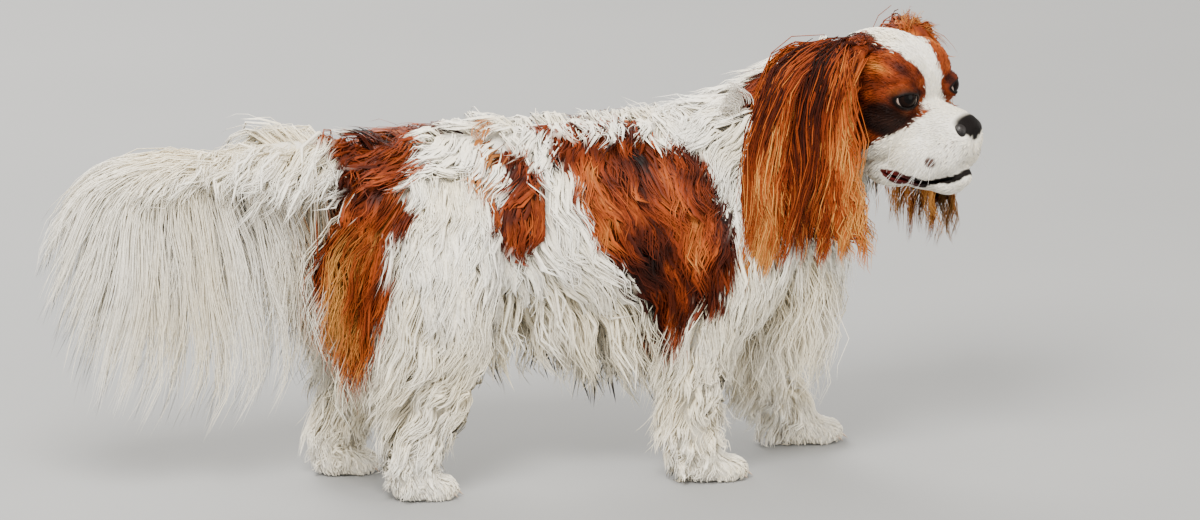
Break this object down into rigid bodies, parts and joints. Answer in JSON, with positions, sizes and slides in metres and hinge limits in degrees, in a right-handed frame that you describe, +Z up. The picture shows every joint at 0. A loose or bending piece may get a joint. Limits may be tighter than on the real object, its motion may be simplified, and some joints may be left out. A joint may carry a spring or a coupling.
{
  "type": "cavalier king charles spaniel",
  "caption": "Life-size standing cavalier king charles spaniel, chestnut and white, head turned aside, long feathered ears, legs and tail.",
  "frame": {"origin": "on the floor, under the middle of the whole object's box, coat and tail plume included", "axes": "+X along the body from the tail towards the chest, +Y to the dog's left, +Z up"},
  "size_m": [0.8404, 0.2197, 0.3946],
  "materials": {
    "body_coat": "long silky wavy coat, creamy white with chestnut patches",
    "head_coat": "short smooth coat, white blaze and muzzle, chestnut cheeks",
    "ear_coat": "long silky chestnut feathering",
    "nose": "moist pebbled black leather",
    "eye": "wet, dark brown",
    "paw": "short white coat"
  },
  "bodies": {
    "root": {"head": "head_coat", "jaw": "head_coat", "nose": "nose", "eye_right": "eye", "eye_left": "eye", "ear_right": "ear_coat", "ear_left": "ear_coat", "neck": "body_coat", "torso": "body_coat", "tail": "body_coat", "foreleg_right": "body_coat", "foreleg_left": "body_coat", "hindleg_right": "body_coat", "hindleg_left": "body_coat", "paw_fore_right": "paw", "paw_fore_left": "paw", "paw_hind_right": "paw", "paw_hind_left": "paw"}
  },
  "joints": []
}
